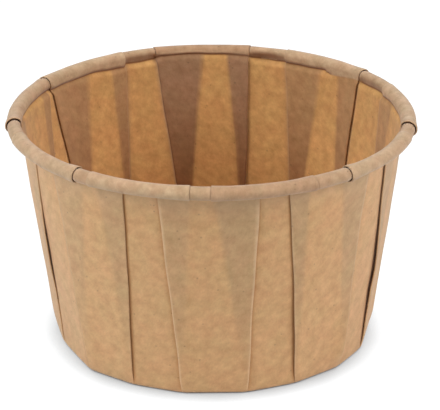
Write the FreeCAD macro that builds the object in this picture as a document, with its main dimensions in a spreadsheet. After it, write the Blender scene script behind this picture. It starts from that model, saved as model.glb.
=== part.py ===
import FreeCAD, Part
import math
import os

import Sketcher

# A pleated paper portion cup, folded from one disc of brown kraft paper and left in one piece.
# The middle of the disc is the base. The rest is drawn up into a flared wall, and the paper to
# spare is laid into box pleats: panels on the inside and panels on the outside, joined at each
# edge by a tuck of three layers that grows from almost nothing at the base to its full width at
# the top. The top is rolled outwards with all its layers, and that roll holds the pleats shut.
#
# +Z is up, along the axis. The origin is the middle of the base's underside. Millimetres.

SIZES = [
    ("rim_diameter", 73.0, "over the rolled rim"),
    ("base_diameter", 58.6, "over the corners of the wall's root"),
    ("cup_height", 41.8, "from the table to the top of the rim"),
    ("roll_diameter", 2.7, "the rolled rim, over all its layers"),
    ("roll_turn", 290, "degrees that the rim is rolled through"),
    ("paper_thickness", 0.1, "one layer of paper"),
    ("layer_gap", 0.08, "air left between folded layers of the wall"),
    ("pleat_count", 9, "box pleats round the cup"),
    ("tuck_width", 6.2, "one tuck, at the rim"),
    ("tuck_root", 0.7, "one tuck, at the base"),
    ("heel", 0.8, "softened fold round the base, inwards and upwards"),
    ("first_pleat", 90, "degrees from +X to the middle of the first pleat"),
]

doc = FreeCAD.newDocument("portion_cup")


def fill_sheet():
    sheet = doc.addObject("Spreadsheet::Sheet", "Sizes")
    for row, (name, number, note) in enumerate(SIZES, start=1):
        sheet.set(f"A{row}", name)
        sheet.set(f"B{row}", str(number))
        sheet.set(f"C{row}", note)
        sheet.setAlias(f"B{row}", name)
    doc.recompute()
    return sheet


sheet = fill_sheet()


def value(expression):
    """The number that an expression on the sheet gives."""
    return float(sheet.evalExpression(expression))


# Levels, and radii of the wall's inside face

PITCH = "(360 / Sizes.pleat_count)"
HALF_PITCH = f"({PITCH} / 2)"
ROLL = "(Sizes.roll_diameter / 2)"
STACK = "(3 * Sizes.paper_thickness + 2 * Sizes.layer_gap)"
WALL_TOP = f"(Sizes.cup_height - {ROLL})"
TOP_INSIDE = "(Sizes.rim_diameter / 2 - Sizes.roll_diameter)"
ROLL_CENTRE = f"({TOP_INSIDE} + {ROLL})"
ROOT_INSIDE = f"(Sizes.base_diameter / 2 - {STACK})"
FOOT_INSIDE = f"({ROOT_INSIDE} - Sizes.heel)"

# The three layers of a tuck, counted from the inside of the cup

INNER, MIDDLE, OUTER = range(3)


def near_face(layer):
    """Depth of a layer's inside face, out from the inside of the wall."""
    return f"({layer} * (Sizes.paper_thickness + Sizes.layer_gap))"


def far_face(layer):
    return f"({near_face(layer)} + Sizes.paper_thickness)"


def as_degrees(width, radius):
    return f"({width} / {radius} * 180 / pi)"


def tuck_folds(inside, tuck):
    """Angles of a tuck's two folds: the one on the outside of the cup, then the inside one.

    The tuck is centred a quarter of the pitch away from the middle of the inner panel.
    """
    half_tuck = as_degrees(f"{tuck} / 2", inside)
    return f"({PITCH} / 4 - {half_tuck})", f"({PITCH} / 4 + {half_tuck})"


def both_halves(corners):
    """Corners on one side of angle 0, and then the same ones on the other side."""
    return corners + [(radius, f"(-{angle})") for radius, angle in reversed(corners)]


# Sketches. A constraint names a point by its piece of geometry and one of these ends.

START, END, CENTRE = range(1, 4)
ORIGIN = (-1, START)


def add_sketch(body, name, plane, lift="0"):
    """A sketch on one of the body's own planes, raised along the plane's normal."""
    sketch = body.newObject("Sketcher::SketchObject", name)
    planes = {item.Role: item for item in body.Origin.OriginFeatures}
    sketch.AttachmentSupport = [(planes[plane], "")]
    sketch.MapMode = "FlatFace"
    sketch.setExpression("AttachmentOffset.Base.z", lift)
    return sketch


def bind(sketch, kind, *places, to):
    """Add one dimension and tie it to the sheet."""
    number = math.radians(value(to)) if kind == "Angle" else value(to)
    index = sketch.addConstraint(Sketcher.Constraint(kind, *places, number))
    sketch.setExpression(f"Constraints[{index}]", to)


def join(sketch, first, second):
    """Make two points one, each given as its piece of geometry and its end."""
    sketch.addConstraint(Sketcher.Constraint("Coincident", *first, *second))


def line_between(start, end):
    ends = []
    for radius, angle in (start, end):
        turn = math.radians(value(angle))
        ends.append(FreeCAD.Vector(math.cos(turn), math.sin(turn), 0) * value(radius))
    return Part.LineSegment(*ends)


def arc_about(centre, radius, start_angle, end_angle):
    """An arc that runs anticlockwise between two angles, which are expressions in degrees."""
    circle = Part.Circle(centre, FreeCAD.Vector(0, 0, 1), value(radius))
    return Part.ArcOfCircle(circle, math.radians(value(start_angle)), math.radians(value(end_angle)))


def draw_outline(sketch, corners, rounded=False):
    """A closed outline through (radius, angle) corners, each held by the sheet.

    Where it is rounded, every second side is an arc about the axis, and the rest are radial.
    """
    starts, ends = [], []
    for side, (radius, angle) in enumerate(corners):
        following = corners[(side + 1) % len(corners)]
        if rounded and side % 2:
            onward = value(angle) < value(following[1])
            span = (angle, following[1]) if onward else (following[1], angle)
            sketch.addGeometry(arc_about(FreeCAD.Vector(), radius, *span))
            join(sketch, (side, CENTRE), ORIGIN)
            bind(sketch, "Radius", side, to=radius)
        else:
            onward = True
            sketch.addGeometry(line_between(corners[side], following))
        starts.append((side, START if onward else END))
        ends.append((side, END if onward else START))
    for side, (radius, angle) in enumerate(corners):
        join(sketch, ends[side - 1], starts[side])
        bind(sketch, "DistanceY", *ORIGIN, *starts[side], to=f"{radius} * sin({angle})")
        if not rounded:
            bind(sketch, "DistanceX", *ORIGIN, *starts[side], to=f"{radius} * cos({angle})")


# The wall: one box pleat, from its foot on the table to the rim

def pleat_corners(inside, tuck):
    """Outline of the folded layer at one level, with the inner panel centred on angle 0."""
    outside_fold, inside_fold = tuck_folds(inside, tuck)
    paper = as_degrees("Sizes.paper_thickness", inside)
    half = [
        (near_face(INNER), inside_fold),
        (far_face(MIDDLE), inside_fold),
        (far_face(MIDDLE), f"({outside_fold} + {paper})"),
        (near_face(OUTER), f"({outside_fold} + {paper})"),
        (near_face(OUTER), HALF_PITCH),
        (far_face(OUTER), HALF_PITCH),
        (far_face(OUTER), outside_fold),
        (near_face(MIDDLE), outside_fold),
        (near_face(MIDDLE), f"({inside_fold} - {paper})"),
        (far_face(INNER), f"({inside_fold} - {paper})"),
    ]
    return both_halves([(f"({inside} + {depth})", angle) for depth, angle in half])


def add_wall(body):
    """The panels are flat at the foot, and follow the round rim at the top."""
    foot = add_sketch(body, "wall_foot", "XY_Plane")
    draw_outline(foot, pleat_corners(FOOT_INSIDE, "Sizes.tuck_root"))
    root = add_sketch(body, "wall_root", "XY_Plane", lift="Sizes.heel")
    draw_outline(root, pleat_corners(ROOT_INSIDE, "Sizes.tuck_root"))
    top = add_sketch(body, "wall_top", "XY_Plane", lift=WALL_TOP)
    draw_outline(top, pleat_corners(TOP_INSIDE, "Sizes.tuck_width"), rounded=True)
    doc.recompute()
    wall = body.newObject("PartDesign::AdditiveLoft", "wall")
    wall.Profile = foot
    wall.Sections = [root, top]
    wall.Ruled = True


# The base: one slice of the flat middle of the disc, out to the foot of the wall

def add_base(body):
    outside_fold, _ = tuck_folds(FOOT_INSIDE, "Sizes.tuck_root")
    inner_panel = f"({FOOT_INSIDE} + {far_face(INNER)})"
    outer_panel = f"({FOOT_INSIDE} + {far_face(OUTER)})"
    edge = [(outer_panel, HALF_PITCH), (outer_panel, outside_fold), (inner_panel, outside_fold)]
    outline = add_sketch(body, "base_slice", "XY_Plane")
    draw_outline(outline, [("0", "0")] + both_halves(edge))
    base = body.newObject("PartDesign::Pad", "base")
    base.Profile = outline
    base.setExpression("Length", "Sizes.paper_thickness")


# The rolled rim: bands of the same layers, pressed together and turned about the axis

def roll_section(body, name, near, far):
    """The part of the roll between two depths, as a hook that starts at the top of the wall."""
    hook = add_sketch(body, name, "XZ_Plane")
    middle = FreeCAD.Vector(value(ROLL_CENTRE), value(WALL_TOP), 0)
    radii = [f"({ROLL} - {depth})" for depth in (near, far)]
    last_angle = "(180 - Sizes.roll_turn)"
    skin, lining = [arc_about(middle, radius, last_angle, "180") for radius in radii]
    hook.addGeometry(skin)
    hook.addGeometry(lining)
    hook.addGeometry(Part.LineSegment(skin.EndPoint, lining.EndPoint))
    hook.addGeometry(Part.LineSegment(lining.StartPoint, skin.StartPoint))
    skin, lining, foot, raw_edge = range(4)
    bind(hook, "DistanceX", *ORIGIN, skin, CENTRE, to=ROLL_CENTRE)
    bind(hook, "DistanceY", *ORIGIN, skin, CENTRE, to=WALL_TOP)
    bind(hook, "Radius", skin, to=radii[0])
    bind(hook, "Radius", lining, to=radii[1])
    join(hook, (skin, CENTRE), (lining, CENTRE))
    join(hook, (skin, END), (foot, START))
    join(hook, (foot, END), (lining, END))
    join(hook, (lining, START), (raw_edge, START))
    join(hook, (raw_edge, END), (skin, START))
    hook.addConstraint(Sketcher.Constraint("Horizontal", foot))
    bind(hook, "DistanceY", *ORIGIN, foot, START, to=WALL_TOP)
    hook.addConstraint(Sketcher.Constraint("PointOnObject", skin, CENTRE, raw_edge))
    bind(hook, "Angle", raw_edge, to=last_angle)
    return hook


def turn_band(body, kind, name, near, far, half_angle):
    """Add (Revolution) or clear (Groove) a band of the roll, centred on the inner panel."""
    section = roll_section(body, f"{name}_section", near, far)
    doc.recompute()
    band = body.newObject(f"PartDesign::{kind}", name)
    band.Profile = section
    band.ReferenceAxis = (section, ["V_Axis"])
    band.Midplane = True
    band.setExpression("Angle", f"2 * {half_angle}")


def add_roll(body):
    outside_fold, inside_fold = tuck_folds(TOP_INSIDE, "Sizes.tuck_width")
    turn_band(body, "Revolution", "roll_all_layers", near_face(INNER), far_face(OUTER), inside_fold)
    turn_band(body, "Revolution", "roll_outer_panel", near_face(OUTER), far_face(OUTER), HALF_PITCH)
    turn_band(body, "Groove", "roll_inner_panel", far_face(INNER), far_face(OUTER), outside_fold)


# All the pleats round the axis

def repeat_round(body):
    pattern = body.newObject("PartDesign::PolarPattern", "pleats")
    pattern.TransformMode = "Whole shape"
    z_axis = [item for item in body.Origin.OriginFeatures if item.Role == "Z_Axis"][0]
    pattern.Axis = (z_axis, [""])
    pattern.Angle = 360
    pattern.setExpression("Occurrences", "Sizes.pleat_count")
    body.Tip = pattern


def add_cup():
    body = doc.addObject("PartDesign::Body", "cup")
    body.Label = "pleated_cup"
    add_base(body)
    add_wall(body)
    add_roll(body)
    doc.recompute()
    repeat_round(body)
    body.setExpression("Placement.Rotation.Angle", "Sizes.first_pleat")
    doc.recompute()
    return body


def check(body):
    for item in doc.Objects:
        if "Invalid" in item.State or "Error" in item.State:
            raise RuntimeError(f"{item.Name} failed: {item.State}")
    if body.Shape.isNull() or not body.Shape.isValid():
        raise RuntimeError(f"{body.Label} has no valid shape")


cup = add_cup()
check(cup)
os.makedirs("parts", exist_ok=True)
cup.Shape.exportStep(f"parts/{cup.Label}.step")
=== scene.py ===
import math
from typing import NamedTuple

import bpy
import numpy as np
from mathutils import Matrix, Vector


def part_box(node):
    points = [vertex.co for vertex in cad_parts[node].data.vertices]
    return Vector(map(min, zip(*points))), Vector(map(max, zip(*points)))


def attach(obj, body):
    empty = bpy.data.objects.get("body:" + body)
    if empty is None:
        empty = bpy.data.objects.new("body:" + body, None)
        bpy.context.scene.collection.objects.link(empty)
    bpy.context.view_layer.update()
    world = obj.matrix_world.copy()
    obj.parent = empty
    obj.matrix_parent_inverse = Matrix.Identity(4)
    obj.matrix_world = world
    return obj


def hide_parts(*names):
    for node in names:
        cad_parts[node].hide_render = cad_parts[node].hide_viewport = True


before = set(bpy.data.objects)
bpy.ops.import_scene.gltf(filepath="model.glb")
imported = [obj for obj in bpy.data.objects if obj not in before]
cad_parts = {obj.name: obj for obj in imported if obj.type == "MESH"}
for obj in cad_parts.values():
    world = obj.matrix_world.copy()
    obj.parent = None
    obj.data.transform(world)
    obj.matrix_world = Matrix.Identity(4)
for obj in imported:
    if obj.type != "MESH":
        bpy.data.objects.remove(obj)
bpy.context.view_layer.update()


def put_in_scene(name, data):
    placed = bpy.data.objects.new(name, data)
    bpy.context.scene.collection.objects.link(placed)
    return placed


# ---- The cup --------------------------------------------------------------------------------
# One disc of brown kraft paper, pressed into a mould in a single stroke. The middle stays flat
# as the base, round it the paper is gathered into nine box pleats, and its edge is rolled
# outwards over all the layers, which is all that holds the pleats shut. Nothing is glued.

MM = 0.001
PAPER = 0.09 * MM
LAYER_PITCH = 0.12 * MM
BASE_RADIUS = 29.1 * MM
HEEL_RADIUS = 0.8 * MM
ROLL_RADIUS = 1.3 * MM
RAW_EDGE_RADIUS = 0.9 * MM
ROLL_TURN = math.radians(282)

# The rim, with room left in the solid's box for the sleeves on it to spring open
cup_low, cup_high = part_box("pleated_cup")
RIM_RADIUS = -cup_low.y - 0.1 * MM
RIM_HEIGHT = cup_high.z - 0.34 * MM

# Half of the paper's section, from the middle of the base out to the raw edge in the roll


def rise(values, start, end):
    """0 up to start, 1 from end on, and smooth between them."""
    share = np.clip((values - start) / (end - start), 0, 1)
    return share * share * (3 - 2 * share)


def cup_section():
    """Its points, how far along it each lies, and how far along it base, heel, wall and roll end."""
    heel_x, heel_z = BASE_RADIUS - HEEL_RADIUS, PAPER / 2 + HEEL_RADIUS
    roll_x, roll_z = RIM_RADIUS - PAPER / 2 - ROLL_RADIUS, RIM_HEIGHT - PAPER / 2 - ROLL_RADIUS
    across, up = roll_x - heel_x, roll_z - heel_z
    lean = math.atan2(across, up) - math.asin((HEEL_RADIUS + ROLL_RADIUS) / math.hypot(across, up))
    points = [(0, PAPER / 2), (heel_x, PAPER / 2)]
    for angle in np.linspace(-math.pi / 2, -lean, 9)[1:]:
        points.append((heel_x + HEEL_RADIUS * math.cos(angle), heel_z + HEEL_RADIUS * math.sin(angle)))
    wall_foot = len(points) - 1
    for share in np.linspace(0, 1, 41):
        angle = math.pi - lean - ROLL_TURN * share
        tightened = rise(share, 0.6, 1.0)
        radius = ROLL_RADIUS + (RAW_EDGE_RADIUS - ROLL_RADIUS) * tightened
        points.append((roll_x + radius * math.cos(angle), roll_z + radius * math.sin(angle)))
    travelled = np.concatenate([[0], np.cumsum(np.hypot(*np.diff(points, axis=0).T))])
    return np.array(points), travelled, travelled[[1, wall_foot, wall_foot + 1, -1]]


section, section_reach, (base_reach, foot_reach, top_reach, edge_reach) = cup_section()

# By this far from the middle of the disc, the layers lie fully apart and the paper cockles
opened_reach = foot_reach + 2.5 * MM

# Box pleats, clockwise as seen from above, each an inner panel between two tucks of three layers.
# Bearings are in degrees from the back.


class Tuck(NamedTuple):
    """One tuck: bearings, sizes in millimetres, and shares between 0 and 1."""
    root: float                 # bearing of its root on the base
    inside: float               # bearings of its two folds at the rim
    outside: float
    inside_slit: float = 0.02   # how far they have sprung open along the wall. Less than 0 is
    outside_slit: float = 0.06  # pressed in, past lying flat
    gape: float = 0.0           # how much wider the outside slit gapes where it is widest
    gape_height: float = 0.5    # where that is, as a share of the wall
    sway: float = 0.0           # how far clockwise the outside fold is kinked there
    rim_slit: float = 0.06      # how far the inside fold has sprung open in the rolled rim
    nose_highlight: float = 0.1           # how strong the painted highlight along the outside fold's nose is, as a share
    foot: float = 0.0           # how far the root stands out of round
    pressed: float = 0.0        # how far in the outer panel beside the inside fold is pressed


class Pleat(NamedTuple):
    """Two tucks and what lies between them, with shares between 0 and 1."""
    first: Tuck
    last: Tuck
    density: float = 0.8        # how dark the tucks are painted, as seen through the paper
    brown: float = 0.3          # how browned the inner panel is where it goes over the rim


PLEATS = [
    Pleat(
        Tuck(-91, -97, -86, rim_slit=0.34, foot=-0.5),
        Tuck(-68.5, -63, -67),
        density=0.6, brown=0.2,
    ),
    Pleat(
        Tuck(-49.5, -61.2, -43, inside_slit=0.15, rim_slit=0.16),
        Tuck(-31.5, -29, -34.5, pressed=0.12),
        density=0.65, brown=0.1,
    ),
    Pleat(
        Tuck(-9.5, -18, -2.5, rim_slit=0.1, pressed=0.17),
        Tuck(12.5, 12, 5, inside_slit=0.26, rim_slit=0.1),
        density=1.0, brown=1.0,
    ),
    Pleat(
        Tuck(32.8, 24.5, 38),
        Tuck(51, 53.8, 44.8, inside_slit=0.21, rim_slit=0.2),
        density=0.6, brown=0.1,
    ),
    Pleat(
        Tuck(71.5, 67.5, 77),
        Tuck(93.5, 100, 92, outside_slit=0.34, rim_slit=0.34, foot=-0.3),
        density=0.5, brown=0.0,
    ),
    Pleat(
        Tuck(114.5, 107, 117.5, outside_slit=0.16, gape=0.3, gape_height=0.42, sway=-0.9, foot=0.2),
        Tuck(
            130.5, 139.5, 127.5, outside_slit=0.04, gape=0.5, gape_height=0.13, rim_slit=0.24,
            nose_highlight=0.2, foot=0.3,
        ),
        brown=0.1,
    ),
    Pleat(
        Tuck(150.1, 151, 157.4, outside_slit=0.06, gape=0.2, gape_height=0.3, nose_highlight=0.25, foot=0.1),
        Tuck(168, 180, 166.5, outside_slit=0.18, rim_slit=0.1, nose_highlight=0.48, foot=0.2),
        brown=0.7,
    ),
    Pleat(
        Tuck(190, 186, 195.5, outside_slit=0.16, rim_slit=0.1, nose_highlight=0.5, foot=0.2),
        Tuck(208, 215, 206, outside_slit=0.08, gape=0.07, gape_height=0.3, foot=0.1),
        density=0.6, brown=0.1,
    ),
    Pleat(
        Tuck(227, 220, 233.5, rim_slit=0.24, foot=0.35),
        Tuck(250.5, 252, 244.5, outside_slit=-0.08, gape=0.34, gape_height=0.5, sway=-0.3, foot=-0.8),
        density=0.5, brown=0.1,
    ),
]

# What the rolling has done to the wall just under the rim, at bearings round it


class Crease(NamedTuple):
    """Sizes in millimetres of the crease that is pinched there."""
    bearing: float
    depth: float                # how deep it is
    drop: float                 # how far under the rim it lies
    hollow: float               # how high the hollow over it is
    pale: float = 0.0           # how strong a painted highlight is on the paper just over it, as a share


CREASES = [
    Crease(-96, 0.3, 0.95, 0.5), Crease(-76, 0.45, 0.95, 0.6), Crease(-63, 0.7, 0.95, 0.9),
    Crease(-60, 0.45, 0.95, 0.5), Crease(-40, 0.4, 1.1, 0.5), Crease(-29.5, 0.35, 1.45, 0.6),
    Crease(-28.3, 0.6, 0.9, 1.5), Crease(-18.6, 0.7, 0.85, 1.5),
    Crease(-17.5, 0.3, 0.3, 0.4, 0.3), Crease(-2, 0.3, 0.2, 0.4, 0.3),
    Crease(11.8, 0.2, 0.3, 0.4, 0.3), Crease(12.6, 0.4, 0.6, 1.0), Crease(16, 1.0, 0.9, 1.7),
    Crease(21, 1.0, 0.9, 1.7), Crease(24, 0.6, 0.7, 1.0), Crease(25, 0.5, 0.9, 0.5),
    Crease(39.5, 0.5, 0.9, 0.5), Crease(40.5, 0.6, 1.3, 0.4), Crease(42, 0.06, 1.4, 0.4),
    Crease(53.6, 0.0, 0.6, 0.4), Crease(54.6, 0.5, 0.85, 1.5), Crease(67, 0.5, 0.85, 1.5),
    Crease(68, 0.4, 0.9, 0.5), Crease(99, 0.2, 0.95, 0.5), Crease(110, 0.2, 0.9, 1.0),
    Crease(140, 0.2, 0.95, 0.5), Crease(180, 0.15, 0.9, 0.5), Crease(220, 0.2, 0.9, 0.8),
]

# The layers of a tuck, counted from the inside of the cup
INSIDE, MIDDLE, OUTSIDE = range(3)


class Spoke(NamedTuple):
    """One line of the paper's mesh, from the middle of the disc to its edge."""
    root: float                 # bearings where it crosses the base's edge and the rim
    top: float
    layer: float                # its layer in the folded wall
    nose: float                 # how far it stands off sideways on the nose of a fold, in metres
    nose_highlight: float                 # how strong a painted highlight on it is, as a share


def panel(start, end, layer, count):
    """Spokes across a flat stretch, closer at its sides, from start up to but not including end."""
    laid = []
    for turn in np.linspace(0, math.pi, count, endpoint=False):
        share = (1 - math.cos(turn)) / 2
        root, top = (a + (b - a) * share for a, b in zip(start, end))
        laid.append(Spoke(root, top, layer, 0, 0))
    return laid


def fold(place, start_layer, end_layer, side, nose_highlight):
    """Spokes round a fold whose nose bulges clockwise (side 1) or the other way (side -1)."""
    laid = [Spoke(*place, start_layer, 0, nose_highlight / 2)]
    for turn in np.radians([45, 90, 135]):
        layer = start_layer + (end_layer - start_layer) * (1 - math.cos(turn)) / 2
        laid.append(Spoke(*place, layer, side * LAYER_PITCH / 2 * math.sin(turn), nose_highlight))
    return laid


def all_spokes():
    """Once round the cup, clockwise: for each pleat its first tuck, inner panel and last tuck, and
    then the outer panel up to the next pleat."""
    laid = []
    for number, pleat in enumerate(PLEATS):
        first, last = pleat[:2]
        onward = PLEATS[(number + 1) % len(PLEATS)].first
        lap = 360 if number == len(PLEATS) - 1 else 0
        next_panel = (onward.root + lap, onward.inside + lap)
        inside, outside = (first.root, first.inside), (first.root, first.outside)
        laid += panel(inside, outside, OUTSIDE, 5)
        laid += fold(outside, OUTSIDE, MIDDLE, 1, first.nose_highlight)
        laid += panel(outside, inside, MIDDLE, 4)
        laid += fold(inside, MIDDLE, INSIDE, -1, 0)
        laid += panel(inside, outside, INSIDE, 5)
        inside, start, outside = (last.root, last.inside), outside, (last.root, last.outside)
        laid += panel(start, outside, INSIDE, 10)
        laid += panel(outside, inside, INSIDE, 5)
        laid += fold(inside, INSIDE, MIDDLE, 1, 0)
        laid += panel(inside, outside, MIDDLE, 4)
        laid += fold(outside, MIDDLE, OUTSIDE, -1, last.nose_highlight)
        laid += panel(outside, inside, OUTSIDE, 5)
        laid += panel(inside, next_panel, OUTSIDE, 12)
    return [np.array(values) for values in zip(*laid)]


def all_rings():
    """Distances from the middle of the disc at which its mesh has a ring of vertices, closest at
    the foot of the wall and in the creased band under the rim."""
    waist = top_reach - 2.4 * MM
    return np.concatenate([
        np.linspace(0, base_reach, 6),
        np.linspace(base_reach, foot_reach, 6)[1:],
        np.linspace(foot_reach, foot_reach + 3 * MM, 6)[1:],
        np.linspace(foot_reach + 3 * MM, waist, 20)[1:],
        np.linspace(waist, top_reach + 0.4 * MM, 26)[1:],
        np.linspace(top_reach + 0.4 * MM, edge_reach, 20)[1:],
    ])


root, top, layer, nose, nose_highlight = all_spokes()
reach = all_rings()[:, None]
climb = np.clip((reach - base_reach) / (top_reach - base_reach), 0, 1)
bearing = root + (top - root) * climb
radius = np.interp(reach, section_reach, section[:, 0])

# Folds can spring open between the foot of the wall and the rim, and again in the roll
in_wall = rise(climb, 0.0, 0.12) * rise(climb, 1.0, 0.95)
in_roll = rise(reach, top_reach, top_reach + 1 * MM)

SPRING_REACH = 1.8 * MM     # how far from a fold the paper springs with it
GAPE_SPREAD = 0.2           # how far up and down the wall a gape spreads, as a share
KINK_SPREAD = 0.12          # how far under a gape its kink begins, as a share
WANDER = 0.08               # how far a fold wanders off its straight line, in millimetres
OPEN_SLIT = 0.1             # an inside fold that has sprung less than this counts as closed
SHADE_BLUR = 0.9 * MM       # how softly the edge of a hidden layer shows through
EDGE_HIGHLIGHT = 0.15 * MM       # how far from an outside fold its painted highlight reaches
EDGE_RUB_AND_LIGHT = 0.35 * MM        # how far from an inside fold the paper beside it is rubbed pale and painted lighter
EDGE_HOLLOW = 0.4 * MM      # how far from an outside fold the paper beneath is painted in its shade
SLIT_SHADE = 0.85           # how dark that painted shade is under a fold with no painted highlight
BRIGHT_NOSE_SHADE = 0.15           # and under one whose nose is painted fully light
RUBBED_AND_LIT = 0.25               # how pale the paper beside an inside fold is painted: rubbed streaks, and painted light over the fold's thin shadow


def clockwise_of(tuck, fold_bearing):
    """How far each vertex lies clockwise of a fold, which runs up from the tuck's root."""
    crease = tuck.root + (fold_bearing - tuck.root) * climb
    return np.radians((bearing - crease + 180) % 360 - 180) * radius


# How far each vertex stands off the wall's inside face, outwards, and how far it sways sideways.
# Then, for the two sides of the paper, where it is painted darker over the layers behind,
# where it is painted paler along a fold, as painted highlights, painted light and rubbed
# streaks, and where painted shade lies in a hollow.

stand_off = layer * LAYER_PITCH * rise(reach, base_reach, opened_reach)
sideways = nose * np.ones_like(bearing)
dark_inside, dark_outside = np.zeros_like(bearing), np.zeros_like(bearing)
pale_inside, pale_outside = nose_highlight / 2 + 0 * bearing, nose_highlight + 0 * bearing
hollow_outside = np.zeros_like(bearing)
for number, pleat in enumerate(PLEATS):
    for tuck, way in zip(pleat[:2], (1, -1)):
        # Both grow towards the middle of the pleat, whichever of its tucks this is
        from_inside = clockwise_of(tuck, tuck.inside) * way
        from_outside = clockwise_of(tuck, tuck.outside) * way
        near_inside = np.exp(-(from_inside / SPRING_REACH) ** 2)
        near_outside = np.exp(-(from_outside / SPRING_REACH) ** 2)

        # Its folds spring open, and the outside one gapes and is kinked at one place
        at_gape = np.exp(-((climb - tuck.gape_height) / GAPE_SPREAD) ** 2)
        slit = (tuck.outside_slit + tuck.gape * at_gape) * MM
        stand_off += (layer >= MIDDLE) * near_outside * in_wall * slit
        kink_start = tuck.gape_height - KINK_SPREAD
        kinked = rise(climb, kink_start, tuck.gape_height) * rise(climb, 1.0, tuck.gape_height)
        swayed = kinked * tuck.sway * MM
        sideways += (layer >= MIDDLE) * near_outside * swayed
        stand_off -= (layer <= MIDDLE) * near_inside * MM * (
            tuck.inside_slit * in_wall + tuck.rim_slit * in_roll
        )
        wander = WANDER * np.sin(8 * climb + 2 * number + way) + WANDER / 2 * np.sin(21 * climb + number)
        sideways += np.maximum(near_inside, near_outside) * in_wall * wander * MM

        # The outer panel beside it is pressed in, and is out again 6 mm on
        beside_closed = (layer == OUTSIDE) * (from_inside <= 0) * (tuck.inside_slit < OPEN_SLIT)
        level = rise(-from_inside, -0.05 * MM, 0.18 * MM) * rise(-from_inside, 6 * MM, 2 * MM)
        stand_off -= beside_closed * level * in_wall * tuck.pressed * MM

        # It is painted dark where it shows through the layer over it, in place of the light that single
        # paper lets through, inside and then outside: inside it is painted darker low down, a painted
        # shade deep in the cup, and outside its edge is softer where the paper is paler
        in_tuck = (from_inside > -SHADE_BLUR) * (from_outside < SHADE_BLUR)
        from_within = in_tuck * (layer <= MIDDLE) * rise(-from_outside, -SHADE_BLUR / 2, SHADE_BLUR / 2)
        from_within = np.maximum(from_within, beside_closed * rise(from_inside, -SHADE_BLUR, 0.1 * MM))
        deeper = pleat.density + 0.55 * (1 - pleat.density) * rise(climb, 0.95, 0.45)
        dark_inside = np.maximum(dark_inside, from_within * deeper)
        beneath = (layer >= MIDDLE) * (from_outside < SHADE_BLUR)
        softness = (1.4 - pleat.density) * SHADE_BLUR
        from_without = beneath * rise(from_inside, -softness, softness) * rise(climb, -0.1, 0.5)
        dark_outside = np.maximum(dark_outside, from_without * min(pleat.density + 0.2, 1))

        # Its outside fold has a painted highlight along its nose, and the paper under that fold is
        # painted in its shade, less so where that highlight is stronger. The paper beside its inside
        # fold is painted paler: rubbed streaks, and painted light over the thin shadow along the fold.
        on_edge = (layer == OUTSIDE) * np.exp(-(from_outside / EDGE_HIGHLIGHT) ** 2)
        pale_outside = np.maximum(pale_outside, on_edge * tuck.nose_highlight)
        from_edge = from_outside - (layer == INSIDE) * swayed * way
        hollow_width = EDGE_HOLLOW + tuck.gape * at_gape * MM
        under_edge = (layer <= MIDDLE) * np.exp(-(from_edge / hollow_width) ** 2)
        shade = SLIT_SHADE + (BRIGHT_NOSE_SHADE - SLIT_SHADE) * tuck.nose_highlight
        hollow_outside = np.maximum(hollow_outside, under_edge * shade)
        # Rubbed streaks, and painted light that lifts the thin shadow beside the inside fold
        rubbed_and_lit = (layer == OUTSIDE) * np.exp(-(from_inside / EDGE_RUB_AND_LIGHT) ** 2)
        pale_inside = np.maximum(pale_inside, rubbed_and_lit * RUBBED_AND_LIT)

# The base has neither tucks nor folds for any of this to follow
beyond_base = rise(reach, base_reach, foot_reach + 1 * MM)
for shading in (dark_inside, dark_outside, pale_inside, pale_outside, hollow_outside):
    shading *= beyond_base

# Round the rim, the inner panels go over the outer ones as sleeves, and the rolling leaves a
# crease under it. Between sleeves nothing covers the outer panels, so they come further out.

SLEEVE_EDGE = 0.4           # degrees over which a sleeve ends
OUTER_BROWN = 0.4           # how browned the outer panels are where they go over the rim
OUTER_LIFT = 1.6 * LAYER_PITCH  # how much further out they come there, between sleeves
UNDER_ROLL_LIGHT = 0.35             # how much painted light lifts the shade on the outside under the roll

sleeve_edges = []
for pleat in PLEATS:
    start, end = pleat.first.inside, pleat.last.inside
    sleeve_edges += [
        (start - SLEEVE_EDGE, 0, OUTER_BROWN), (start, 1, pleat.brown),
        (end, 1, pleat.brown), (end + SLEEVE_EDGE, 0, OUTER_BROWN),
    ]
edge_bearings, *sleeve_values = zip(*sleeve_edges)
sleeve, browned = (np.interp(top, edge_bearings, values, period=360) for values in sleeve_values)
lifted = (layer == OUTSIDE) * (1 - sleeve) * OUTER_LIFT * in_roll

# Heights over the crease are in millimetres, along the paper
crease_bearings, *crease_sizes = zip(*CREASES)
depth, drop, hollow, roll_edge_highlight = (np.interp(top, crease_bearings, sizes, period=360) for sizes in crease_sizes)
around = np.radians(top)
waver = 0.08 * np.sin(5 * around) + 0.06 * np.sin(13 * around + 1) + 0.07 * np.sin(31 * around + 2)
above_crease = (reach - top_reach) / MM + drop + waver
groove = np.exp(-(above_crease / np.where(above_crease > 0, 0.6 * hollow, 0.6)) ** 2)
stand_off += depth * MM * groove
stand_off -= lifted
# On the inside, the hollow over the crease and the crease's line are painted in shade
shaded = rise(above_crease, -0.2, 0.05) * rise(above_crease, 1.3 * hollow, 0.0)
line = np.exp(-((above_crease - 0.05) / 0.2) ** 2)
hollow_inside = (0.5 * shaded + 0.6 * line) * rise(depth, 0.0, 0.4)
# A painted highlight along the lower edge of the roll, just over the crease
pale_inside = np.maximum(pale_inside, roll_edge_highlight * np.exp(-((above_crease - 0.4) / 0.25) ** 2))

# From the crease on the paper is rolled, and just before it the outside is painted paler:
# painted light that lifts the shade under the roll
rolled = rise(above_crease, -0.08, 0.12)
pale_outside = np.maximum(pale_outside, UNDER_ROLL_LIGHT * rise(climb, 0.86, 0.96) * (1 - rolled))

# Between the roots of its tucks the paper is nearly flat, so that the base has straight sides.
# Each panel comes round again towards the rim.

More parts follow.
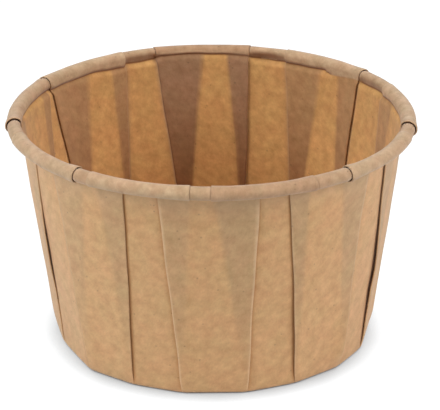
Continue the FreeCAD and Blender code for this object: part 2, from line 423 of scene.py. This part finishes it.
FLATNESS = 0.9              # 1 makes the base's sides straight and 0 makes it round
CORNER_TURN = 2.5           # degrees by which a corner is softened to each side

roots = sorted(tuck.root % 360 for pleat in PLEATS for tuck in pleat[:2])
roots = np.array([roots[-1] - 360] + roots + [roots[0] + 360])


def straight_sided(bearings):
    """How far out the straight sides lie there, as a share of the circle through their corners."""
    following = np.searchsorted(roots, bearings % 360 + 0.001)
    half_turn = np.radians(roots[following] - roots[following - 1]) / 2
    off_middle = np.radians(bearings % 360 - (roots[following] + roots[following - 1]) / 2)
    return np.cos(half_turn) / np.cos(off_middle)


turns = np.linspace(-CORNER_TURN, CORNER_TURN, 9)
with_soft_corners = np.mean([straight_sided(root + turn) for turn in turns], axis=0)
feet = sorted((tuck.root % 360, tuck.foot) for pleat in PLEATS for tuck in pleat[:2])
out_of_round = np.interp(root, *zip(*feet), period=360) * MM / BASE_RADIUS
flattened = 1 + (out_of_round - FLATNESS * (1 - with_soft_corners)) * rise(climb, 0.9, 0.0)

# The blank: the same paper laid flat, which is where the folding starts from

steps = np.radians(np.abs(np.diff(bearing, axis=1, append=bearing[:, :1] + 360)))
turned = np.cumsum(steps, axis=1) - steps
turned = np.radians(root[0]) + turned * 2 * math.pi / steps.sum(axis=1, keepdims=True)
ring_count, spoke_count = bearing.shape
flat = np.stack([reach * np.sin(turned), reach * np.cos(turned), 0 * turned], axis=2)
corner = np.arange(ring_count * spoke_count).reshape(ring_count, spoke_count)
beside = np.roll(corner, -1, axis=1)
faces = np.stack([corner[:-1], beside[:-1], beside[1:], corner[1:]], axis=2).reshape(-1, 4)

blank = bpy.data.meshes.new("kraft_blank")
blank.from_pydata(flat.reshape(-1, 3).tolist(), [], faces.tolist())


def record_on_blank(name, values):
    values = np.broadcast_to(values, bearing.shape)
    attribute = blank.attributes.new(name, "FLOAT", "POINT")
    attribute.data.foreach_set("value", values.astype(np.float32).ravel())


for name, values in {
    "root_bearing": np.radians(root), "top_bearing": np.radians(top), "stand_off": stand_off,
    "sideways": sideways, "flattened": flattened, "rolled": rolled, "browned": browned,
    "dark_inside": dark_inside, "pale_inside": pale_inside, "hollow_inside": hollow_inside,
    "dark_outside": dark_outside, "pale_outside": pale_outside, "hollow_outside": hollow_outside,
}.items():
    record_on_blank(name, values)

flat_map = blank.uv_layers.new(name="flat_blank")
corners = flat.reshape(-1, 3)[faces.ravel(), :2] / (2 * edge_reach) + 0.5
flat_map.uv.foreach_set("vector", corners.astype(np.float32).ravel())

cup = put_in_scene("folded_kraft_cup", blank)

# The section as a curve, for the folding to follow
section_curve = bpy.data.curves.new("cup_section", "CURVE")
section_curve.dimensions = "3D"
section_spline = section_curve.splines.new("POLY")
section_spline.points.add(len(section) - 1)
for point, (x, z) in zip(section_spline.points, section):
    point.co = (x, 0, z, 1)
section_guide = put_in_scene("cup_section", section_curve)


# Kraft paper: unbleached and unglazed, and painted lighter where one layer would let light
# through, darker over the tucks. Colours are 0 to 255, as on a chart.

ROLLED_PALE = (187, 155, 122)
ROLLED_BROWN = (168, 131, 98)
# Pale paper for painted highlights and painted light, and for rubbed streaks
PAINTED_LIGHT_AND_WEAR = (232, 200, 164)


def node(tree, kind, *values, **named):
    """Add a node. Values feed its inputs in order and Named_Ones feed the input of that name, from
    nodes, sockets or plain values. Named ones in lower case are the node's own settings."""
    added = tree.nodes.new(kind)
    for name, value in named.items():
        if name[0].islower():
            setattr(added, name, value)
    fed = list(zip(added.inputs, values))
    capitals = [name for name in named if name[0].isupper()]
    fed += [(added.inputs[name.replace("_", " ")], named[name]) for name in capitals]
    for socket, value in fed:
        if isinstance(value, bpy.types.Node):
            value = value.outputs[0]
        if isinstance(value, bpy.types.NodeSocket):
            tree.links.new(value, socket)
        elif value is not None:
            socket.default_value = value
    return added


def from_srgb(red, green, blue):
    """A colour as written on a chart, 0 to 255, as the shader takes it."""
    shares = [value / 255 for value in (red, green, blue)]
    return [s / 12.92 if s <= 0.04045 else ((s + 0.055) / 1.055) ** 2.4 for s in shares] + [1]


def mixed(tree, share, first, second, blend="MIX"):
    """One colour mixed into another by a share, or blended with it in another way."""
    mix = tree.nodes.new("ShaderNodeMix")
    mix.data_type = "RGBA"
    mix.blend_type = blend
    sources = {0: share, 6: first, 7: second}
    for index, source in sources.items():
        if isinstance(source, bpy.types.Node):
            source = source.outputs[0]
        if isinstance(source, bpy.types.NodeSocket):
            tree.links.new(source, mix.inputs[index])
        else:
            mix.inputs[index].default_value = source
    return mix.outputs[2]


def kraft_paper(side, single, layered, layered_low, hollow_shade, mottling):
    """One side of the paper: its colour where it lies single, its painted colours over a tuck near
    the rim and over one near the base, darker for the light the layers keep out and for the shade
    deep in the cup, its painted shade down in a hollow, and how strongly it is mottled."""
    material = bpy.data.materials.new(f"kraft_{side}")
    material.use_nodes = True
    tree = material.node_tree
    shader = tree.nodes["Principled BSDF"]

    def recorded(name):
        return node(tree, "ShaderNodeAttribute", attribute_name=name).outputs["Fac"]

    def maths(operation, *values):
        return node(tree, "ShaderNodeMath", *values, operation=operation)

    place = node(tree, "ShaderNodeSeparateXYZ", node(tree, "ShaderNodeTexCoord").outputs["Object"])
    # Over a tuck the colour is painted darker low in the cup: painted shade deep in it
    high_up = node(tree, "ShaderNodeMapRange", place.outputs["Z"], 0.3 * RIM_HEIGHT, 0.85 * RIM_HEIGHT)
    over_tuck = mixed(tree, high_up, from_srgb(*layered_low), from_srgb(*layered))
    colour = mixed(tree, recorded(f"dark_{side}"), from_srgb(*single), over_tuck)
    over_rim = mixed(tree, recorded("browned"), from_srgb(*ROLLED_PALE), from_srgb(*ROLLED_BROWN))
    colour = mixed(tree, recorded("rolled"), colour, over_rim)

    # Fibres, flocks, clouds and specks lie in the flat sheet, in millimetres, and fold with it
    sheet = node(tree, "ShaderNodeUVMap", uv_map="flat_blank")
    disc_mm = 2 * edge_reach / MM
    in_mm = node(tree, "ShaderNodeMapping", sheet, Scale=(disc_mm, disc_mm, disc_mm))
    along_grain = node(tree, "ShaderNodeMapping", in_mm, Scale=(3.0, 1.6, 1), Rotation=(0, 0, 0.3))
    fibres = node(tree, "ShaderNodeTexNoise", along_grain, Scale=1, Detail=3, Roughness=0.7)
    flocks = node(tree, "ShaderNodeTexNoise", in_mm, Scale=0.55, Detail=4, Roughness=0.6)
    clouds = node(tree, "ShaderNodeTexNoise", in_mm, Scale=0.2, Detail=3, Roughness=0.65)
    specks = node(tree, "ShaderNodeTexVoronoi", in_mm, Scale=0.45)

    ochre = node(tree, "ShaderNodeMapRange", clouds, 0.35, 0.65)
    drift = mixed(tree, ochre, from_srgb(255, 249, 246), from_srgb(250, 254, 250))
    colour = mixed(tree, 1.0, colour, drift, blend="MULTIPLY")
    flock = node(tree, "ShaderNodeMapRange", flocks, 0.3, 0.7)
    flocking = mixed(tree, flock, (0.82, 0.77, 0.70, 1), (1.14, 1.17, 1.22, 1))
    colour = mixed(tree, mottling, colour, flocking, blend="MULTIPLY")
    grain = node(tree, "ShaderNodeMapRange", fibres, 0.25, 0.75, 0.93, 1.09)
    speck = node(tree, "ShaderNodeMapRange", specks, 0.04, 0.10, 0.70, 1.0)
    colour = mixed(tree, 1.0, colour, maths("MULTIPLY", grain, speck), blend="MULTIPLY")
    # Painted highlights, painted light and rubbed streaks make it paler, and painted shade darkens hollows
    pale, hollow = recorded(f"pale_{side}"), recorded(f"hollow_{side}")
    colour = mixed(tree, maths("MULTIPLY", pale, 0.7), colour, from_srgb(*PAINTED_LIGHT_AND_WEAR))
    colour = mixed(tree, maths("MULTIPLY", hollow, 0.9), colour, from_srgb(*hollow_shade))
    tree.links.new(colour, shader.inputs["Base Color"])

    roughness = node(tree, "ShaderNodeMapRange", clouds, 0.3, 0.7, 0.72, 0.86)
    tree.links.new(roughness.outputs[0], shader.inputs["Roughness"])
    shader.inputs["Specular IOR Level"].default_value = 0.3
    shader.inputs["Sheen Weight"].default_value = 0.25
    shader.inputs["Sheen Roughness"].default_value = 0.6
    wrinkles = node(tree, "ShaderNodeTexNoise", in_mm, Scale=1.3, Detail=2)
    relief = maths("ADD", maths("ADD", fibres, clouds), maths("MULTIPLY", wrinkles, recorded("rolled")))
    bump = node(tree, "ShaderNodeBump", Strength=0.6, Distance=0.05 * MM, Height=relief)
    tree.links.new(bump.outputs[0], shader.inputs["Normal"])
    return material


kraft_inside = kraft_paper(
    "inside", single=(200, 150, 89), layered=(152, 113, 80), layered_low=(128, 79, 28),
    hollow_shade=(116, 66, 20), mottling=1.0,
)
kraft_outside = kraft_paper(
    "outside", single=(202, 158, 110), layered=(184, 148, 107), layered_low=(186, 148, 104),
    hollow_shade=(160, 99, 28), mottling=0.75,
)


def folding_tree():
    """Lays the flat blank round the cup's section, at each spoke's bearings, and cockles it a bit."""
    tree = bpy.data.node_groups.new("fold_the_blank", "GeometryNodeTree")
    tree.is_modifier = True
    sockets = {}

    def named_input(name, kind):
        sockets[name] = tree.interface.new_socket(name, in_out="INPUT", socket_type=kind).identifier

    named_input("Blank", "NodeSocketGeometry")
    named_input("Section", "NodeSocketObject")
    for name in ("Base Reach", "Wall Top Reach", "Opening Reach", "Cockle Height", "Cockle Length", "Seed"):
        named_input(name, "NodeSocketFloat")
    named_input("Paper", "NodeSocketMaterial")
    tree.interface.new_socket("Cup", in_out="OUTPUT", socket_type="NodeSocketGeometry")

    given = tree.nodes.new("NodeGroupInput").outputs
    result = tree.nodes.new("NodeGroupOutput")

    def maths(operation, *values):
        return node(tree, "ShaderNodeMath", *values, operation=operation)

    def recorded(name):
        return node(tree, "GeometryNodeInputNamedAttribute", Name=name, data_type="FLOAT")

    flat_place = node(tree, "GeometryNodeInputPosition")
    reach = node(tree, "ShaderNodeVectorMath", flat_place, operation="LENGTH").outputs["Value"]
    bearing = node(
        tree, "ShaderNodeMapRange", reach, given["Base Reach"], given["Wall Top Reach"],
        recorded("root_bearing"), recorded("top_bearing"),
    )
    opened = node(
        tree, "ShaderNodeMapRange", reach, given["Base Reach"], given["Opening Reach"], 0, 1,
        interpolation_type="SMOOTHSTEP",
    )
    guide = node(tree, "GeometryNodeObjectInfo", Object=given["Section"]).outputs["Geometry"]
    spot = node(tree, "GeometryNodeSampleCurve", mode="LENGTH", Curves=guide, Length=reach)
    place = node(tree, "ShaderNodeSeparateXYZ", spot.outputs["Position"]).outputs
    heading = node(tree, "ShaderNodeSeparateXYZ", spot.outputs["Tangent"]).outputs

    sine, cosine = maths("SINE", bearing), maths("COSINE", bearing)
    across = node(tree, "ShaderNodeCombineXYZ", sine, cosine, 0)
    along = node(tree, "ShaderNodeCombineXYZ", cosine, maths("MULTIPLY", sine, -1), 0)

    round_out = maths("MULTIPLY", place["X"], recorded("flattened"))
    bare_wall = node(tree, "ShaderNodeVectorMath", across, Scale=round_out, operation="SCALE")
    bare_wall = node(
        tree, "ShaderNodeVectorMath", bare_wall, node(tree, "ShaderNodeCombineXYZ", 0, 0, place["Z"]),
        operation="ADD",
    )
    waves = node(
        tree, "ShaderNodeTexNoise", bare_wall, given["Seed"], noise_dimensions="4D",
        Scale=maths("DIVIDE", 1, given["Cockle Length"]), Detail=2, Roughness=0.45,
    )
    cockle = maths("MULTIPLY", maths("SUBTRACT", waves, 0.5), given["Cockle Height"])
    cockle = maths("MULTIPLY", cockle, opened)
    depth = maths("ADD", recorded("stand_off"), cockle)

    out = maths("ADD", round_out, maths("MULTIPLY", depth, heading["Z"]))
    up = maths("SUBTRACT", place["Z"], maths("MULTIPLY", depth, heading["X"]))
    folded = node(tree, "ShaderNodeVectorMath", across, Scale=out, operation="SCALE")
    raised = node(tree, "ShaderNodeCombineXYZ", 0, 0, up)
    folded = node(tree, "ShaderNodeVectorMath", folded, raised, operation="ADD")
    sideways = maths("MULTIPLY", recorded("sideways"), opened)
    sideways = node(tree, "ShaderNodeVectorMath", along, Scale=sideways, operation="SCALE")
    folded = node(tree, "ShaderNodeVectorMath", folded, sideways, operation="ADD")

    shaped = node(tree, "GeometryNodeSetPosition", given["Blank"], Position=folded)
    closed = node(tree, "GeometryNodeMergeByDistance", shaped, Distance=0.002 * MM)
    smooth = node(tree, "GeometryNodeSetShadeSmooth", closed)
    real = node(tree, "GeometryNodeRealizeInstances", smooth)
    finished = node(tree, "GeometryNodeSetMaterial", real, Material=given["Paper"])
    tree.links.new(finished.outputs[0], result.inputs[0])
    return tree, sockets


fold_tree, fold_inputs = folding_tree()
folding = cup.modifiers.new("folding", "NODES")
folding.node_group = fold_tree
for name, value in {
    "Section": section_guide, "Base Reach": base_reach, "Wall Top Reach": top_reach,
    "Opening Reach": opened_reach, "Cockle Height": 0.3 * MM, "Cockle Length": 9 * MM,
    "Seed": 3.0, "Paper": kraft_inside,
}.items():
    folding[fold_inputs[name]] = value

depsgraph = bpy.context.evaluated_depsgraph_get()
folded_mesh = bpy.data.meshes.new_from_object(cup.evaluated_get(depsgraph), depsgraph=depsgraph)
cup.modifiers.remove(folding)
cup.data = folded_mesh
bpy.data.objects.remove(section_guide)
folded_mesh.materials.append(kraft_outside)

# The thickness, half to each side, which gives the outer side the second material
thickness = cup.modifiers.new("paper_thickness", "SOLIDIFY")
thickness.thickness = PAPER
thickness.offset = 0
thickness.material_offset = 1

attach(cup, "root")
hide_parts("pleated_cup")

# ---- The table and the room -----------------------------------------------------------------
# A plain white sweep for the cup to stand on, lit by soft lamps to its left and right and one
# overhead. It shows white, but for a soft shadow close round the cup, where the wall leans out.

FLOOR_SIZE = 4.0
FLOOR_GREY = 0.72           # how light the sweep is painted, under its glow
SHADOW_REACH = 7.5 * MM     # how far off the cup can still shut off the sky
GLOW_SHARE = 0.8            # how much of what is seen is glow
GLOW_STRENGTH = 1.2         # how strong it is at its whitest
WHITE_FROM = 0.68           # the share of open sky from which the floor is at its whitest


def seen_directly(tree):
    """1 for what the camera sees, also in gloss and through things, and 0 for what gives soft light."""
    rays = node(tree, "ShaderNodeLightPath").outputs
    seen = node(tree, "ShaderNodeMath", rays["Is Camera Ray"], rays["Is Glossy Ray"], operation="MAXIMUM")
    return node(tree, "ShaderNodeMath", seen, rays["Is Transmission Ray"], operation="MAXIMUM")


floor_mesh = bpy.data.meshes.new("floor")
half = FLOOR_SIZE / 2
floor_corners = [(-half, -half, 0), (half, -half, 0), (half, half, 0), (-half, half, 0)]
floor_mesh.from_pydata(floor_corners, [], [(0, 1, 2, 3)])
floor = put_in_scene("floor", floor_mesh)

white = bpy.data.materials.new("white_sweep")
white.use_nodes = True
tree = white.node_tree
sweep_paint = tree.nodes["Principled BSDF"]
sweep_paint.inputs["Base Color"].default_value = (FLOOR_GREY, FLOOR_GREY, FLOOR_GREY, 1)
sweep_paint.inputs["Roughness"].default_value = 0.9

# The white is mostly a glow that is seen directly, so that it sheds no soft light on the cup. It
# fades where the cup shuts off the sky close by, and more so in front, as the sky is taken to be
# brighter behind.
sky_behind = node(tree, "ShaderNodeCombineXYZ", 0, 0.25, 0.97)
open_sky = node(tree, "ShaderNodeAmbientOcclusion", Distance=SHADOW_REACH, Normal=sky_behind)
brightness = node(tree, "ShaderNodeMapRange", open_sky.outputs["AO"], 0, WHITE_FROM, 0, GLOW_STRENGTH)
glow = node(tree, "ShaderNodeEmission", (0.975, 0.99, 1.0, 1), brightness)
glow_share = node(tree, "ShaderNodeMath", seen_directly(tree), GLOW_SHARE, operation="MULTIPLY")
sweep = node(tree, "ShaderNodeMixShader", glow_share, sweep_paint, glow)
tree.links.new(sweep.outputs[0], tree.nodes["Material Output"].inputs["Surface"])
floor_mesh.materials.append(white)

world = bpy.data.worlds.new("studio")
world.use_nodes = True
bpy.context.scene.world = world
tree = world.node_tree
room_light = tree.nodes["Background"]
room_light.inputs["Color"].default_value = (1, 1, 1, 1)
room_light.inputs["Strength"].default_value = 0.1
backdrop = node(tree, "ShaderNodeBackground", (1, 1, 1, 1), 1.0)
room = node(tree, "ShaderNodeMixShader", seen_directly(tree), room_light, backdrop)
tree.links.new(room.outputs[0], tree.nodes["World Output"].inputs["Surface"])


def soft_lamp(name, place, power, colour):
    """A square lamp that is turned to the cup."""
    lamp = bpy.data.lights.new(name, "AREA")
    lamp.shape = "SQUARE"
    lamp.size = 0.9
    lamp.energy = power
    lamp.color = colour
    holder = put_in_scene(name, lamp)
    holder.location = place
    holder.rotation_euler = (-Vector(place)).to_track_quat("-Z", "Y").to_euler()


soft_lamp("left_lamp", place=(-1.0, -0.40, 0.8), power=14.0, colour=(0.97, 1.0, 1.0))
soft_lamp("right_lamp", place=(1.0, -0.40, 0.8), power=13.2, colour=(1.0, 0.97, 0.95))
soft_lamp("top_lamp", place=(0.0, -0.1, 1.3), power=5.0, colour=(1.0, 1.0, 1.0))

# ---- The camera -----------------------------------------------------------------------------
# A long lens, in front of the cup and somewhat above the rim. It aims a little above the cup's
# middle and to the right of it.

CAMERA_ELEVATION = math.radians(23.6)
CAMERA_DISTANCE = 0.421
cup_middle = Vector((0, 0, cup_high.z / 2))
aim_point = cup_middle + Vector((1.5 * MM, 0, 2.25 * MM))
backwards = Vector((0, -math.cos(CAMERA_ELEVATION), math.sin(CAMERA_ELEVATION)))
camera_data = bpy.data.cameras.new("camera")
camera_data.lens = 190.5
camera_data.sensor_width = 36
camera = put_in_scene("camera", camera_data)
camera.location = cup_middle + backwards * CAMERA_DISTANCE
camera.rotation_euler = (aim_point - camera.location).to_track_quat("-Z", "Y").to_euler()
bpy.context.scene.camera = camera
bpy.context.scene.view_settings.view_transform = "Standard"
